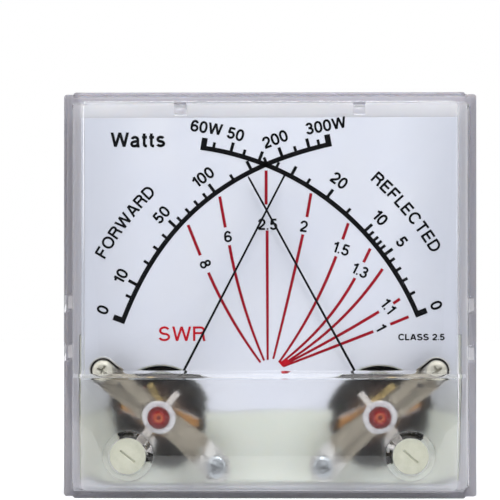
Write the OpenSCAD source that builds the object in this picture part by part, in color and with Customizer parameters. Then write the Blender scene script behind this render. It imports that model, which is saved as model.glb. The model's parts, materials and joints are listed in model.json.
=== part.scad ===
// Cross-needle forward and reflected power panel meter, in millimetres.
// X to the right, Y away from the viewer, Z up. Y = 0 is the plane where the side
// flanges seat against the back of a panel, and Z = 0 is the flat bottom of the case.

/* [Case] */
// Width of the front block that shows through the panel
face_w = 76; // [60:0.1:100]
// Height of the front block and of the case
face_h = 78.6; // [60:0.1:100]
// Width over the two side flanges
body_w = 80.7; // [64:0.1:108]
// How far the upper window stands in front of the seating plane
window_p = 5.5; // [3:0.1:9]
// How much further the lower, frosted zone stands out
apron_p = 1; // [0:0.1:2]
// Height of the sloped step between window and lower zone, measured up from the middle
step_z = -14.4; // [-20:0.1:-10]
// Length of the cover behind the seating plane
cover_d = 16; // [12:0.1:22]
// Wall of the cover sides
wall = 1.6; // [1.2:0.1:2.5]
// Thickness of the window
window_t = 2; // [1.5:0.1:3]
// Back of the rear case
case_y = 19.6; // [17:0.1:26]
// Thickness of the rear case floor
floor_t = 2; // [1.5:0.1:3]

/* [Dial] */
// Width of the dial plate
dial_w = 72.9; // [60:0.1:74]
// Top edge of the dial plate above the middle of the face
dial_top = 34.9; // [30:0.1:36.5]
// Lower edge of the dial plate below the middle of the face
dial_low = -23.4; // [-25:0.1:-22]
// Front face of the dial plate
dial_y = 3; // [2:0.1:5]
// Thickness of the dial plate
dial_t = 0.6; // [0.4:0.05:1]
// Thickness of the movement frame behind the dial
frame_t = 1.6; // [1.2:0.1:2]
// Lower edge of the movement frame below the middle of the face
frame_low = -35.7; // [-35.8:0.1:-35]

/* [Movements] */
// Distance of each pivot from the middle line
hub_x = 21.5; // [18:0.1:26]
// Height of the pivots above the middle of the face
hub_z = -24; // [-28:0.1:-18]
// Direction of the front bridges, from the horizontal
bridge_a = 40.2; // [20:0.1:60]
// Distance between the two end holes of a front bridge
bridge_l = 28.6; // [20:0.1:34]
// Width of a front bridge
bridge_w = 5.4; // [4:0.1:7]
// Outer radius of the yoke ring
yoke_r = 9.8; // [9:0.1:11]
// Radius of the core magnet
core_r = 6.1; // [5:0.1:6.4]
// Length of the needles from the pivot
needle_l = 53.9; // [40:0.1:57]
// Angle of the left needle from the vertical, as stored
needle_a_left = 27.2; // [10:0.1:68]
// Angle of the right needle from the vertical, as stored
needle_a_right = 28.6; // [10:0.1:68]

/* [Zero adjusters] */
// Distance of each adjuster from the middle line
adj_x = 27.4; // [24:0.1:32]
// Height of the adjusters above the middle of the face
adj_z = -31.2; // [-35:0.1:-27]
// Radius of the adjuster head
adj_r = 3.5; // [2.5:0.1:4.5]
// Throw of the eccentric pin
adj_e = 1; // [0.6:0.05:1.2]
// Radius of the eccentric pin
adj_pin_r = 0.35; // [0.3:0.05:0.5]

/* [Terminals] */
// Distance between the terminals across the case
term_x = 48; // [30:0.5:60]
// Distance between the terminals up the case
term_z = 14; // [10:0.5:24]
// Height of the lower terminals above the middle of the face
term_low = -4; // [-8:0.5:6]
// Radius of the free end of a terminal stud
term_r = 1.5; // [1:0.05:2.5]

/* [Hidden] */
$fn = 48;
eps = 0.01;
mid_z = face_h / 2;
win_y = -window_p;
apr_y = win_y - apron_p;
cav_w = face_w - 2 * wall;
cav_h = face_h - 2 * wall;
in_w = body_w - 2 * wall;
case_w = in_w - 0.4;
case_h = cav_h - 0.4;
floor_y = case_y - floor_t;
// front stack of a movement
br_y = -1.5;
br_t = 1;
lev_y = -2.25;
lev_t = 0.4;
// moving coil
former_y0 = 3;
former_y1 = 13;
coil_y0 = 2.4;
coil_y1 = 13.6;
// rear bridge
rb_y = 14.6;
rb_t = 1;
strip_y = rb_y + rb_t;
strip_t = 0.3;
dx = adj_x - hub_x;
dz = hub_z - adj_z;
adj_d = sqrt(dx * dx + dz * dz);
// direction from the left pivot to the left adjuster
adj_a = 180 + atan2(dz, dx);
py_left = 0.5;
py_right = 1.35;
spring_t = 0.12;

// a flat shape in the plane of the face, made solid from y0 back to y1
module yex(y0, y1) { translate([0, y1, 0]) rotate([90, 0, 0]) linear_extrude(height = y1 - y0) children(); }
// a side profile (depth, height), made solid across from x0 to x1
module xex(x0, x1) { translate([x0, 0, 0]) rotate([90, 0, 90]) linear_extrude(height = x1 - x0) children(); }
module rrect(w, h, r) {
    square([w - 2 * r, h], center = true);
    square([w, h - 2 * r], center = true);
    for (sx = [-1, 1], sy = [-1, 1]) translate([sx * (w / 2 - r), sy * (h / 2 - r)]) circle(r = r);
}
module at(x, z) { translate([x, 0, z]) children(); }
module up_case() { translate([0, 0, mid_z]) children(); }
// a movement's own space: its pivot on the Y axis
module left_side() { up_case() at(-hub_x, hub_z) children(); }
module right_side() { up_case() mirror([1, 0, 0]) at(-hub_x, hub_z) children(); }
module both() { up_case() { children(); mirror([1, 0, 0]) children(); } }
// bar along a direction, from radius r0 to r1
module bar2(a, r0, r1, w) { rotate(a) translate([r0, -w / 2]) square([r1 - r0, w]); }
module polar2(a, r) { rotate(a) translate([r, 0]) rotate(-a) children(); }
module ringy(y0, y1, r1, r0) {
    difference() { yex(y0, y1) circle(r = r1); yex(y0 - 1, y1 + 1) circle(r = r0); }
}
function pr(a, r) = [r * cos(a), r * sin(a)];
post_r = bridge_l / 2;
post_o = pr(180 - bridge_a, post_r);
post_i = pr(-bridge_a, post_r);
foot_r = 12;
foot_a = adj_a - 180;

// ---------------------------------------------------------------- case
latch_z = [-1.6, -11.2];
module cover_shell() {
    intersection() {
        xex(-face_w / 2, face_w / 2) polygon([[0, mid_z], [win_y, mid_z], [win_y, step_z - 0.9],
            [apr_y, step_z - 1.65], [apr_y, -mid_z], [0, -mid_z]]);
        yex(apr_y - 1, 1) rrect(face_w, face_h, 0.6);
    }
    yex(-eps, cover_d) rrect(body_w, face_h, 0.6);
}
module cover_cavity() {
    intersection() {
        xex(-cav_w / 2, cav_w / 2) polygon([[wall + 1, cav_h / 2], [win_y + window_t, cav_h / 2],
            [win_y + window_t, step_z - 0.3], [win_y + window_t - apron_p / 2, step_z - 1.35], [apr_y + window_t, step_z - 2],
            [apr_y + window_t, -cav_h / 2], [wall + 1, -cav_h / 2]]);
        yex(apr_y, wall + 2) rrect(cav_w, cav_h, 0.8);
    }
    yex(wall, cover_d + 1) rrect(in_w, cav_h, 0.5);
}
module front_cover() color([0.86, 0.9, 0.95, 0.3]) up_case() {
    difference() {
        union() {
            difference() {
                cover_shell();
                cover_cavity();
            }
            // bosses for the zero adjusters
            for (s = [-1, 1]) at(s * adj_x, adj_z) yex(apr_y - 0.4, apr_y + window_t + 0.8) circle(r = 4.75);
            // lugs that hold the top of the dial
            for (s = [-1, 1]) at(s * 17.4, 0) translate([-1.15, -2, 35.3]) cube([2.3, 4.6, cav_h / 2 - 35.3 + 0.5]);
        }
        for (s = [-1, 1]) at(s * adj_x, adj_z) {
            yex(apr_y - 1, apr_y + 1.6) circle(r = adj_r + 0.15);
            yex(apr_y, apr_y + window_t + 2) circle(r = 2.06);
        }
        // windows for the snap latches of the rear case
        for (s = [-1, 1], z = latch_z) at(s * body_w / 2, z) translate([-wall - 0.5, 9, -1.7]) cube([2 * wall + 1, 3.4, 3.4]);
    }
}
module rear_case() color([0.93, 0.92, 0.86]) up_case() {
    difference() {
        union() {
            difference() {
                union() {
                    yex(dial_y + dial_t + 0.2, floor_y + eps) rrect(case_w, case_h, 0.5);
                    yex(cover_d, case_y) rrect(body_w, face_h, 0.6);
                }
                yex(0, floor_y) rrect(case_w - 2 * wall, case_h - 2 * wall, 0.5);
            }
            // ledge round the back of the dial
            difference() {
                yex(dial_y + dial_t + 0.2, 5.4) translate([-case_w / 2 + 0.5, -7.9]) square([case_w - 1, case_h / 2 + 7.4]);
                yex(3, 6) translate([-35.4, -9]) square([70.8, 43]);
            }
            // snap latches
            for (s = [-1, 1], z = latch_z) at(s * case_w / 2, z)
                mirror([s < 0 ? 1 : 0, 0, 0]) translate([0, 0, -1.3]) linear_extrude(height = 2.6)
                    polygon([[-0.6, 8.4], [0, 9.2], [1.3, 11], [1.3, 12], [-0.6, 12]]);
            // pads behind the top of the dial
            for (s = [-1, 1]) at(s * 30, 29) yex(dial_y + dial_t, floor_y + eps) circle(r = 2.4);
            for (s = [0, 1]) mirror([s, 0, 0]) at(-hub_x, hub_z) {
                // seat of the yoke ring
                difference() {
                    yex(11, floor_y + eps) circle(r = 11.4);
                    yex(10, 12.4) circle(r = yoke_r + 0.05);
                    yex(10, floor_y) circle(r = 8.6);
                    yex(10, 14.2) bar2(foot_a, -13, 13, 6.4);
                    yex(10, floor_y) bar2(foot_a, -13, 13, 6.4);
                    yex(14, floor_y) circle(r = 9.9);
                }
                // feet of the rear bridge
                for (r = [-foot_r, foot_r]) translate([pr(foot_a, r)[0], 0, pr(foot_a, r)[1]])
                    yex(strip_y + strip_t, floor_y + eps) circle(r = 2.4);
                // sockets of the pillars
                for (p = [post_o, post_i]) at(p[0], p[1]) yex(15.2, floor_y + eps) circle(r = 3.2);
            }
            // raised seats of the upper terminals
            for (s = [-1, 1]) at(s * term_x / 2, term_low + term_z) yex(strip_y + strip_t, floor_y + eps) circle(r = 3.4);
        }
        for (s = [-1, 1], z = [0, 1]) at(s * term_x / 2, term_low + z * term_z) yex(10, case_y + 1) circle(r = 1.55);
        for (s = [0, 1]) mirror([s, 0, 0]) at(-hub_x, hub_z) {
            for (p = [post_o, post_i]) at(p[0], p[1]) yex(10, floor_y + 0.8) circle(r = 2.42);
            for (r = [-foot_r, foot_r]) translate([pr(foot_a, r)[0], 0, pr(foot_a, r)[1]])
                yex(10, floor_y + 0.6) circle(r = 1.02);
        }
    }
}
module dial_plate() color([0.9, 0.93, 0.97]) up_case() difference() {
    yex(dial_y, dial_y + dial_t) difference() {
        translate([-dial_w / 2, dial_low]) square([dial_w, dial_top - dial_low]);
        for (s = [-1, 1]) {
            translate([s * hub_x, hub_z]) circle(r = 10.3);
            translate([s * (hub_x - post_o[0]), hub_z + post_o[1]]) circle(r = 1.15);
        }
    }
}
// moulded plate that carries both movements; its lower half comes forward to the dial's face
frame_y = dial_y + dial_t;
module movement_frame() color([0.9, 0.89, 0.82]) up_case() difference() {
    union() {
        yex(frame_y, frame_y + frame_t) translate([-36.85, frame_low]) square([73.7, -8 - frame_low]);
        yex(dial_y, frame_y + eps) translate([-36.85, frame_low]) square([73.7, dial_low - 0.1 - frame_low]);
    }
    for (s = [0, 1]) mirror([s, 0, 0]) at(-hub_x, hub_z) {
        yex(dial_y - 1, dial_y + 1.2) circle(r = 9.2);
        yex(dial_y + 1.1, dial_y + 6) circle(r = yoke_r + 0.2);
        yex(frame_y - 0.01, dial_y + 6) intersection() { circle(r = yoke_r + 0.2); translate([-20, 0.5]) square([40, 20]); }
        for (p = [post_o, post_i]) at(p[0], p[1]) yex(0, 10) circle(r = 1.15);
    }
}

// ---------------------------------------------------------------- fixed parts of both movements
module posts() { at(-hub_x, hub_z) for (p = [post_o, post_i]) at(p[0], p[1]) children(); }
module bridge_pillars() color([0.78, 0.66, 0.35]) both() posts() difference() {
    yex(frame_y + frame_t, floor_y + 0.8) circle(r = 2.4);
    yex(0, 10) circle(r = 1.02);
}
module bridge_spacers() color([0.8, 0.78, 0.7]) both() posts() difference() {
    yex(br_y + br_t, dial_y) circle(r = 2);
    yex(-3, 4) circle(r = 1.05);
}
module pan_screw(y, r, h, l, slot) {
    // head in front of y, shank behind it
    difference() {
        union() {
            yex(y - h, y) circle(r = r);
            translate([0, y - h + 0.02, 0]) rotate([90, 0, 0]) cylinder(r1 = r, r2 = r * 0.72, h = 0.35);
            yex(y - eps, y + l) circle(r = 1);
        }
        if (slot) translate([-r, y - h - 1, -0.3]) cube([2 * r, 1.6, 0.6]);
        if (!slot) rotate([0, 30, 0]) for (a = [0, 90]) rotate([0, a, 0]) translate([-r * 0.55, y - h - 1, -0.22]) cube([r * 1.1, 1.7, 0.44]);
    }
}
module bridge_screws() color([0.6, 0.64, 0.7]) both() posts() pan_screw(br_y, 1.95, 1.05, 10.5, false);
module rear_bridge_screws() color([0.6, 0.64, 0.7]) both() at(-hub_x, hub_z)
    for (r = [-foot_r, foot_r]) translate([pr(foot_a, r)[0], 0, pr(foot_a, r)[1]]) pan_screw(rb_y, 1.8, 0.8, 3.4, true);
module strip2(p, q, w) {
    d = q - p;
    translate(p) rotate(atan2(d[1], d[0])) translate([0, -w / 2]) square([norm(d), w]);
}
module contact_strips() color([0.8, 0.68, 0.36]) both() {
    // lower terminal to the outer pillar, along the floor
    difference() {
        yex(floor_y - strip_t, floor_y) {
            strip2([-term_x / 2, term_low], [-hub_x + post_o[0], hub_z + post_o[1] + 4.6], 2.2);
            translate([-term_x / 2, term_low]) circle(r = 2.6);
            translate([-hub_x + post_o[0], hub_z + post_o[1] + 4.6]) circle(r = 1.4);
        }
        at(-term_x / 2, term_low) yex(10, 20) circle(r = 1.55);
    }
    // upper terminal to the rear bridge, one level further forward
    difference() {
        yex(strip_y, strip_y + strip_t) {
            strip2([-term_x / 2, term_low + term_z], [-15, 2], 2.2);
            strip2([-15, 2], [-hub_x + pr(foot_a, foot_r)[0], hub_z + pr(foot_a, foot_r)[1]], 2.2);
            translate([-15, 2]) circle(r = 1.1);
            translate([-term_x / 2, term_low + term_z]) circle(r = 2.6);
            translate([-hub_x + pr(foot_a, foot_r)[0], hub_z + pr(foot_a, foot_r)[1]]) circle(r = 2.3);
        }
        at(-term_x / 2, term_low + term_z) yex(10, 20) circle(r = 1.55);
        at(-hub_x + pr(foot_a, foot_r)[0], hub_z + pr(foot_a, foot_r)[1]) yex(10, 20) circle(r = 1.05);
    }
}
// V jewels in the ends of the jewel screws
module pivot_jewels() color([0.75, 0.2, 0.4]) both() at(-hub_x, hub_z) {
    difference() {
        yex(-1.2, -0.45) circle(r = 0.6);
        translate([0, -0.44, 0]) rotate([90, 0, 0]) cylinder(r1 = 0.36, r2 = 0.08, h = 0.5);
    }
    difference() {
        yex(rb_y - 0.1, rb_y + 0.65) circle(r = 0.6);
        translate([0, rb_y - 0.11, 0]) rotate([-90, 0, 0]) cylinder(r1 = 0.36, r2 = 0.08, h = 0.5);
    }
}

// ---------------------------------------------------------------- terminals
module terms() { for (s = [-1, 1]) up_case() at(s * term_x / 2, 0) children(); }
module terminal_studs() color([0.8, 0.68, 0.36]) for (z = [0, 1]) terms() at(0, term_low + z * term_z) {
    y0 = z == 0 ? floor_y - strip_t : strip_y;
    yex(y0 - 1.2, y0) circle(r = 2.5, $fn = 6);
    yex(y0 - eps, case_y + 4.2) circle(r = term_r - 0.2);
    yex(case_y + 4.2 - eps, case_y + 8.4) circle(r = term_r);
    translate([0, case_y + 8.4 - eps, 0]) rotate([-90, 0, 0]) cylinder(r1 = term_r, r2 = term_r - 0.4, h = 0.4);
}
module terminal_washers() color([0.85, 0.85, 0.88]) for (z = [0, 1]) terms() at(0, term_low + z * term_z)
    ringy(case_y, case_y + 0.5, 3.3, 1.55);
module terminal_lugs() color([0.82, 0.82, 0.8]) for (z = [0, 1], s = [-1, 1]) up_case() at(s * term_x / 2, term_low + z * term_z) rotate([0, s * 90, 0]) {
    difference() {
        union() {
            yex(case_y + 0.5, case_y + 1) {
                circle(r = 3);
                translate([-1.6, 0]) square([3.2, 4.4]);
            }
            // tail bent back at right angles, with its wire eye
            difference() {
                translate([-1.6, case_y + 0.5, 3.9]) cube([3.2, 7, 0.5]);
                translate([0, case_y + 5.2, 3]) cylinder(r = 0.9, h = 3);
            }
        }
        yex(case_y, case_y + 2) circle(r = 1.55);
    }
}
module terminal_nuts() color([0.82, 0.7, 0.4]) for (z = [0, 1]) terms() at(0, term_low + z * term_z)
    difference() {
        yex(case_y + 1, case_y + 3.4) circle(r = 3.17, $fn = 6);
        yex(case_y, case_y + 5) circle(r = term_r - 0.18);
    }

// ---------------------------------------------------------------- one movement
module yoke_ring() color([0.16, 0.15, 0.15]) ringy(4.4, 12.4, yoke_r, 8.4);
module core_magnet() color([0.3, 0.27, 0.25]) difference() {
    yex(3.9, 12.1) circle(r = core_r);
    yex(3, 4.3) circle(r = 1.1);
    yex(11.7, 13) circle(r = 1.1);
}
module sector2(a, h, r) { polygon(concat([[0, 0]], [for (t = [-h, 0, h]) pr(a + t, r)])); }
module core_clamps() color([0.72, 0.6, 0.33]) for (k = [0, 180]) intersection() {
    ringy(4.6, 12, 8.38, core_r + 0.02);
    yex(4, 13) sector2(foot_a + k, 26.4, 14);
}
module front_bridge() color([0.5, 0.48, 0.44]) difference() {
    yex(br_y, br_y + br_t) {
        bar2(-bridge_a, -post_r, post_r, bridge_w);
        polar2(-bridge_a, post_r) circle(r = bridge_w / 2);
        polar2(180 - bridge_a, post_r) circle(r = bridge_w / 2);
    }
    yex(br_y - 1, 1) {
        circle(r = 1.27);
        for (s = [-1, 1]) {
            polar2(-bridge_a, s * post_r) circle(r = 1.05);
            polar2(-bridge_a, s * 9.9) circle(r = 0.55);
        }
    }
}
module rear_bridge() color([0.5, 0.48, 0.44]) difference() {
    union() {
        yex(rb_y, rb_y + rb_t) {
            bar2(foot_a, -foot_r, foot_r, 4.8);
            for (r = [-foot_r, foot_r]) polar2(foot_a, r) circle(r = 2.4);
            bar2(180 - bridge_a, 0, 5.9, 1.8);
        }
        // post that holds the outer end of the rear hairspring
        yex(rb_y - 1, rb_y + eps) bar2(180 - bridge_a, 4.95, 5.9, 1.4);
    }
    yex(rb_y - 2, rb_y + 3) {
        circle(r = 1.27);
        for (r = [-foot_r, foot_r]) polar2(foot_a, r) circle(r = 1.05);
    }
}
module front_jewel_screw() color([0.62, 0.1, 0.1]) difference() {
    union() {
        yex(-3.9, -3) circle(r = 2.2);
        yex(-3 - eps, -0.45) circle(r = 1.25);
        yex(-4.02, -3.9 + eps) difference() { circle(r = 0.85); circle(r = 0.5); }
    }
    yex(-1.25, 0) circle(r = 0.62);
}
module rear_jewel_screw() color([0.7, 0.6, 0.35]) difference() {
    union() {
        yex(rb_y - 0.1, rb_y + rb_t + 0.6) circle(r = 1.25);
        yex(rb_y + rb_t + 0.6 - eps, rb_y + rb_t + 1.5) circle(r = 1.9);
    }
    yex(rb_y - 1, rb_y + 0.7) circle(r = 0.62);
    translate([-2, rb_y + rb_t + 1, -0.3]) cube([4, 1, 0.6]);
}
module jewel_nut() color([0.9, 0.88, 0.85]) difference() {
    yex(-3, -2.3) circle(r = 3.3);
    yex(-4, 0) circle(r = 1.27);
    // two notches for a pin spanner
    for (a = [40, 220]) yex(-3.5, -2.62) rotate(a) translate([2.45, -0.4]) square([1.2, 0.8]);
}
module spring_tag(a, off, l) color([0.85, 0.7, 0.25]) difference() {
    yex(-1.8, -1.5) {
        circle(r = 2.4);
        rotate(a) translate([0, off - 0.55]) square([l, 1.1]);
        rotate(a) translate([0, min(0, off)]) square([1.6, abs(off)]);
    }
    yex(-4, 0) circle(r = 1.28);
}
module zero_lever() color([0.86, 0.85, 0.82]) difference() {
    union() {
        yex(lev_y, lev_y + lev_t) {
            circle(r = 2.6);
            bar2(adj_a, 0, 7.6, 1.7);
            bar2(adj_a, 7, 9.6, 2.3);
            bar2(adj_a + 180, 0, 6.2, 1.2);
        }
        // foot that reaches back past the bridge to the hairspring
        yex(lev_y, 0.3) bar2(adj_a + 180, 4.95, 6.2, 1.2);
    }
    yex(-4, 0) circle(r = 1.3);
    yex(-4, -1) bar2(adj_a, adj_d - adj_e - 0.9, 10, 2 * adj_pin_r + 0.26);
}
module zero_screw(slot_a) color([0.93, 0.92, 0.86]) at(-dx, -dz) difference() {
    union() {
        yex(apr_y + 0.25, apr_y + 1.5) circle(r = adj_r);
        yex(apr_y + 1.5 - eps, apr_y + 3.6) circle(r = 2);
        yex(apr_y + 3.6 - eps, lev_y + lev_t + 0.2) polar2(adj_a + 180, adj_e) circle(r = adj_pin_r);
    }
    yex(apr_y, apr_y + 0.6) bar2(slot_a, -1.8, 1.8, 0.4);
    // groove for the retaining clip
    difference() { yex(apr_y + 2.88, apr_y + 3.32) circle(r = 4); yex(apr_y, 0) circle(r = 1.6); }
}
module screw_clip() color([0.35, 0.35, 0.38]) at(-dx, -dz) difference() {
    yex(apr_y + 2.9, apr_y + 3.3) circle(r = 2.9);
    yex(apr_y, 0) circle(r = 1.62);
    yex(apr_y, 0) bar2(adj_a, 0, 5, 2.2);
}
// the moving coil: t is the needle's direction
module loop2(r0, r1, ya, yb, t) { difference() { translate([-r1, ya]) square([2 * r1, yb - ya]); translate([-r0, ya + t]) square([2 * r0, yb - ya - 2 * t]); } }
module loop(r0, r1, ya, yb, t, w) { translate([0, 0, -w / 2]) linear_extrude(height = w) loop2(r0, r1, ya, yb, t); }
module coil_former(t) color([0.8, 0.8, 0.82]) rotate([0, 90 - t, 0]) {
    loop(6.6, 6.9, former_y0, former_y1, 0.3, 5.8);
    for (s = [-1, 1]) translate([0, 0, s * 2.7]) loop(6.9 - eps, 7.3, former_y0 - 0.4, former_y1 + 0.4, 0.4 + eps, 0.3);
}
module coil_winding(t) color([0.72, 0.4, 0.14]) rotate([0, 90 - t, 0])
    loop(6.92, 7.6, coil_y0, coil_y1, 0.58, 5.04);
module pivot_staffs() color([0.6, 0.6, 0.64]) {
    yex(-0.5, coil_y0 - 0.2) circle(r = 0.24);
    translate([0, -0.5 + eps, 0]) rotate([90, 0, 0]) cylinder(r1 = 0.24, r2 = 0.03, h = 0.34);
    yex(coil_y0 - 0.25, coil_y0) circle(r = 1.5);
    yex(coil_y1, coil_y1 + 0.15) circle(r = 1.5);
    yex(coil_y1, rb_y - 0.05) circle(r = 0.24);
    ringy(coil_y1 + 0.15, rb_y - 0.35, 0.8, 0.2);
    translate([0, rb_y - 0.05 - eps, 0]) rotate([-90, 0, 0]) cylinder(r1 = 0.24, r2 = 0.03, h = 0.34);
}
module needle_hub(t, py) color([0.78, 0.66, 0.35]) difference() {
    union() {
        yex(-0.25, coil_y0 - 0.25) circle(r = 0.85);
        yex(py + 0.15, py + 0.45) {
            bar2(t, 0, 4.6, 0.9);
            bar2(t + 180, 0, 7.6, 0.7);
            bar2(t + 90, -4.6, 4.6, 0.7);
        }
    }
    yex(-2, 4) circle(r = 0.26);
}
module needle(t, py) color([0.04, 0.04, 0.05]) yex(py - 0.15, py + 0.15) rotate(t)
    polygon([[0.9, -0.3], [5, -0.25], [needle_l - 3, -0.2], [needle_l, -0.08], [needle_l, 0.08], [needle_l - 3, 0.2], [5, 0.25], [0.9, 0.3]]);
module weight(r, h, py) {
    difference() {
        translate([0, py + 0.3, 0]) rotate([0, 90, 0]) cylinder(r = r, h = h);
        translate([-1, py + 0.14, -0.36]) cube([h + 2, 0.32, 0.72]);
    }
}
tail_w_r = 1.1;
tail_w_l = 2.6;
module balance_weights(t, py) color([0.7, 0.7, 0.72]) {
    rotate([0, -t - 180, 0]) translate([4.85, 0, 0]) weight(tail_w_r, tail_w_l, py);
    for (s = [-90, 90]) rotate([0, -t + s, 0]) translate([3.2, 0, 0]) weight(0.5, 1.1, py);
}
// hairspring of half turns; its outer end lies in direction a
sp0 = 1.1;
sp_p = 0.5;
sp_n = 7;
module hairspring(y0, a) color([0.75, 0.6, 0.3]) yex(y0, y0 + 0.35) rotate(a + 180) {
    for (n = [0 : sp_n - 1]) {
        s = n % 2 == 0 ? 1 : -1;
        ra = sp0 + n * sp_p;
        rb = ra + sp_p;
        translate([s * (ra - rb) / 2, 0]) intersection() {
            difference() { circle(r = (ra + rb) / 2 + spring_t / 2); circle(r = (ra + rb) / 2 - spring_t / 2); }
            translate([-10, s > 0 ? 0 : -10]) square([20, 10]);
        }
    }
    // ends: to the collet inside and to the stud outside
    translate([0.84, -0.001]) square([sp0 - 0.84 + spring_t / 2, spring_t]);
    translate([-4.93, 0]) square([4.93 - sp0 - sp_n * sp_p + spring_t / 2, spring_t]);
}

ta = 90 - needle_a_left;
tb = 90 - needle_a_right;
front_cover();
rear_case();
dial_plate();
movement_frame();
bridge_pillars();
bridge_spacers();
bridge_screws();
contact_strips();
rear_bridge_screws();
pivot_jewels();
terminal_studs();
terminal_washers();
terminal_lugs();
terminal_nuts();
left_side() yoke_ring();  // yoke_ring_left
left_side() core_magnet();  // core_magnet_left
left_side() core_clamps();  // core_clamps_left
left_side() front_bridge();  // front_bridge_left
left_side() rear_bridge();  // rear_bridge_left
left_side() front_jewel_screw();  // front_jewel_screw_left
left_side() rear_jewel_screw();  // rear_jewel_screw_left
left_side() jewel_nut();  // jewel_nut_left
left_side() spring_tag(122.5, -2.15, 6.5);  // spring_tag_left
left_side() zero_lever();  // zero_lever_left
left_side() zero_screw(-38);  // zero_screw_left
left_side() screw_clip();  // screw_clip_left
left_side() coil_former(ta);  // coil_former_left
left_side() coil_winding(ta);  // coil_winding_left
left_side() pivot_staffs();  // pivot_staffs_left
left_side() needle_hub(ta, py_left);  // needle_hub_left
left_side() needle(ta, py_left);  // needle_left
left_side() balance_weights(ta, py_left);  // balance_weights_left
left_side() hairspring(-0.2, adj_a + 180);  // front_hairspring_left
left_side() hairspring(13.85, 180 - bridge_a);  // rear_hairspring_left
right_side() yoke_ring();  // yoke_ring_right
right_side() core_magnet();  // core_magnet_right
right_side() core_clamps();  // core_clamps_right
right_side() front_bridge();  // front_bridge_right
right_side() rear_bridge();  // rear_bridge_right
right_side() front_jewel_screw();  // front_jewel_screw_right
right_side() rear_jewel_screw();  // rear_jewel_screw_right
right_side() jewel_nut();  // jewel_nut_right
right_side() spring_tag(138, -3.1, 6.2);  // spring_tag_right
right_side() zero_lever();  // zero_lever_right
right_side() zero_screw(-139);  // zero_screw_right
right_side() screw_clip();  // screw_clip_right
right_side() coil_former(tb);  // coil_former_right
right_side() coil_winding(tb);  // coil_winding_right
right_side() pivot_staffs();  // pivot_staffs_right
right_side() needle_hub(tb, py_right);  // needle_hub_right
right_side() needle(tb, py_right);  // needle_right
right_side() balance_weights(tb, py_right);  // balance_weights_right
right_side() hairspring(-0.2, adj_a + 180);  // front_hairspring_right
right_side() hairspring(13.85, 180 - bridge_a);  // rear_hairspring_right
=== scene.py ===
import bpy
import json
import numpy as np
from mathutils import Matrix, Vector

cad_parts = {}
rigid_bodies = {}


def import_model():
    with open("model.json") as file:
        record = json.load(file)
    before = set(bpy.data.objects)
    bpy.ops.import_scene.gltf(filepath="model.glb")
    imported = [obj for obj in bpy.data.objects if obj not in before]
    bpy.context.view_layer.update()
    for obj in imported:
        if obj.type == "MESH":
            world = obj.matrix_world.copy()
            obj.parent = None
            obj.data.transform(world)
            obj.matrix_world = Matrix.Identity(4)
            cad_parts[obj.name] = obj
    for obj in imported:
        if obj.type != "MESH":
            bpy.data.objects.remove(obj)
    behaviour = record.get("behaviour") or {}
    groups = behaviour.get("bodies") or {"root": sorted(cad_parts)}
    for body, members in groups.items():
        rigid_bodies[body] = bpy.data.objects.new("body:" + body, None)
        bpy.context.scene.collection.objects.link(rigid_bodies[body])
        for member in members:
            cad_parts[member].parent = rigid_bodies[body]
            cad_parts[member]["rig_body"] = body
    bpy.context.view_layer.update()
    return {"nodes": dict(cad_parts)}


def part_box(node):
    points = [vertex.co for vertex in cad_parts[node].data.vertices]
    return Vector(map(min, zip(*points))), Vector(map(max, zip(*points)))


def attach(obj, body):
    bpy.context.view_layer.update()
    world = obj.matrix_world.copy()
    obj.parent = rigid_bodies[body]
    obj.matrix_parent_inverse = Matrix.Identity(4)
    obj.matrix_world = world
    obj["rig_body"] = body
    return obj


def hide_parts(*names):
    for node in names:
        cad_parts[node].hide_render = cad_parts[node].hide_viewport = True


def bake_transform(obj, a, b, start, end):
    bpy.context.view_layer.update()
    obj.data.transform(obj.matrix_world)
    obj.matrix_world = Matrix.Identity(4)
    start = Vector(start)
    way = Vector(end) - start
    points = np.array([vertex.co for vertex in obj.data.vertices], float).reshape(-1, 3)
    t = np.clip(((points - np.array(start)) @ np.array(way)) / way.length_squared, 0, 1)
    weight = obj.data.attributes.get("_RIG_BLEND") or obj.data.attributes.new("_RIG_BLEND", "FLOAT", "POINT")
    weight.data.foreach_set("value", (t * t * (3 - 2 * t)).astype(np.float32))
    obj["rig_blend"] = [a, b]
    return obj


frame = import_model()

import json
import math
import bpy
import bmesh
from mathutils import Vector, Matrix

NODES = frame["nodes"]
MM = 0.001
MID = 39.3          # middle of the face above the flat bottom, mm
HUB_X, HUB_Z = 21.5, -24.0
scene = bpy.context.scene
scene.view_settings.view_transform = "Standard"
scene.view_settings.look = "None"
scene.view_settings.exposure = 0.0
scene.view_settings.gamma = 1.0

# ------------------------------------------------------------------ camera
cam_data = bpy.data.cameras.new("camera")
cam = bpy.data.objects.new("camera", cam_data)
scene.collection.objects.link(cam)
cam.location = (0.0147, -0.5555, 0.0362)
cam.rotation_euler = (math.radians(90.229), 0.0, math.radians(1.117))
cam_data.sensor_width = 36.0
cam_data.lens = 204.5
cam_data.shift_x = -0.0793
cam_data.shift_y = 0.0996
cam_data.clip_start = 0.01
cam_data.clip_end = 20.0
cam_data.dof.use_dof = False
scene.camera = cam


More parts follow.
